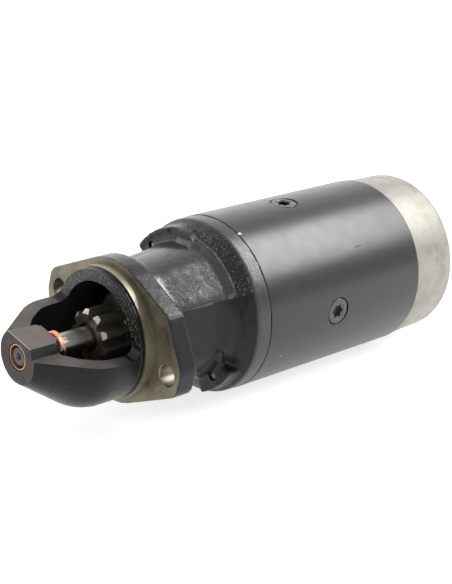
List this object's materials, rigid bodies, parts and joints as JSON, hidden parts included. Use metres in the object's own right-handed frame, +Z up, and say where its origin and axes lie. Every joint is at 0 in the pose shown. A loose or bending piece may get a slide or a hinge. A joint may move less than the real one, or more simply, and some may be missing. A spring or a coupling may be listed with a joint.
{
  "type": "starter motor",
  "caption": "Pre-engaged engine starter motor: flanged open-nose housing, sliding pinion, round yoke, rear cover and side solenoid with shift lever.",
  "frame": {"origin": "on the armature shaft's axis, in the plane of the mounting flange's front face", "axes": "+X along the shaft from the nose towards the rear cover, +Z up as the motor lies on its yoke and solenoid, +Y towards the solenoid side"},
  "size_m": [0.335, 0.1782, 0.1154],
  "materials": {
    "cast_black": "rough black-painted cast iron, bare and brownish grey where machined",
    "paint_black": "satin black paint",
    "cast_alloy": "pale satin die-cast alloy",
    "steel": "bright turned steel",
    "dark_steel": "dark oiled steel",
    "plated": "zinc-plated steel",
    "bronze": "sintered bronze",
    "copper": "copper",
    "carbon": "copper-graphite brush, dark and matte",
    "bakelite": "moulded black insulating plastic",
    "rubber": "black rubber"
  },
  "bodies": {
    "motor": {"drive_end_housing": "cast_black", "nose_bush": "bronze", "thrust_washer": "copper", "centre_bearing_plate": "cast_alloy", "centre_bush": "bronze", "yoke": "paint_black", "pole_shoe_1": "dark_steel", "pole_screw_1": "dark_steel", "pole_shoe_2": "dark_steel", "pole_screw_2": "dark_steel", "pole_shoe_3": "dark_steel", "pole_screw_3": "dark_steel", "pole_shoe_4": "dark_steel", "pole_screw_4": "dark_steel", "field_coils": "copper", "rear_cover": "cast_alloy", "rear_bush": "bronze", "shaft_end_cap": "plated", "through_bolt_1": "plated", "through_bolt_2": "plated", "brush_holder": "plated", "brush_1": "carbon", "brush_spring_1": "steel", "brush_2": "carbon", "brush_spring_2": "steel", "brush_3": "carbon", "brush_spring_3": "steel", "brush_4": "carbon", "brush_spring_4": "steel", "lever_pivot_pin": "steel", "plunger_return_spring": "steel", "solenoid_case": "plated", "solenoid_coil": "copper", "solenoid_core": "steel", "terminal_cap": "bakelite", "battery_terminal": "steel", "motor_terminal": "steel", "battery_nut": "plated", "motor_nut": "plated", "switch_terminal": "plated", "solenoid_screw_1": "plated", "solenoid_screw_2": "plated", "motor_lead": "copper", "lead_grommet": "rubber"},
    "armature": {"armature_shaft": "steel", "armature_core": "dark_steel", "winding_front": "copper", "winding_rear": "copper", "commutator": "copper"},
    "drive": {"clutch_shell": "dark_steel", "drive_sleeve": "steel", "guide_ring": "dark_steel", "sleeve_circlip": "steel", "engagement_spring": "steel"},
    "pinion": {"pinion": "dark_steel", "pinion_bush": "bronze"},
    "plunger": {"solenoid_plunger": "steel", "contact_disc": "copper"},
    "lever": {"shift_lever": "dark_steel"}
  },
  "joints": [
    {"name": "armature_spin", "type": "hinge", "parent": "motor", "child": "armature", "pos_m": [0, 0, 0], "axis": [1, 0, 0], "continuous": true},
    {"name": "drive_slide", "type": "slide", "parent": "armature", "child": "drive", "axis": [-1, 0, 0], "range_m": [0, 0.018]},
    {"name": "pinion_overrun", "type": "hinge", "parent": "drive", "child": "pinion", "pos_m": [0, 0, 0], "axis": [1, 0, 0], "continuous": true},
    {"name": "plunger_slide", "type": "slide", "parent": "motor", "child": "plunger", "axis": [1, 0, 0], "range_m": [0, 0.0106], "stiffness_N_per_m": 3000, "springref_m": -0.012, "deforming": ["plunger_return_spring"]},
    {"name": "lever_swing", "type": "hinge", "parent": "motor", "child": "lever", "pos_m": [0.0405, 0.05317, -0.01758], "axis": [0, -0.314, -0.9494], "range_deg": [0, 18.5]}
  ],
  "couplings": [
    {"joint": "drive_slide", "follows": "plunger_slide", "ratio": 1.698},
    {"joint": "lever_swing", "follows": "plunger_slide", "rad_per_m": 30.456}
  ]
}
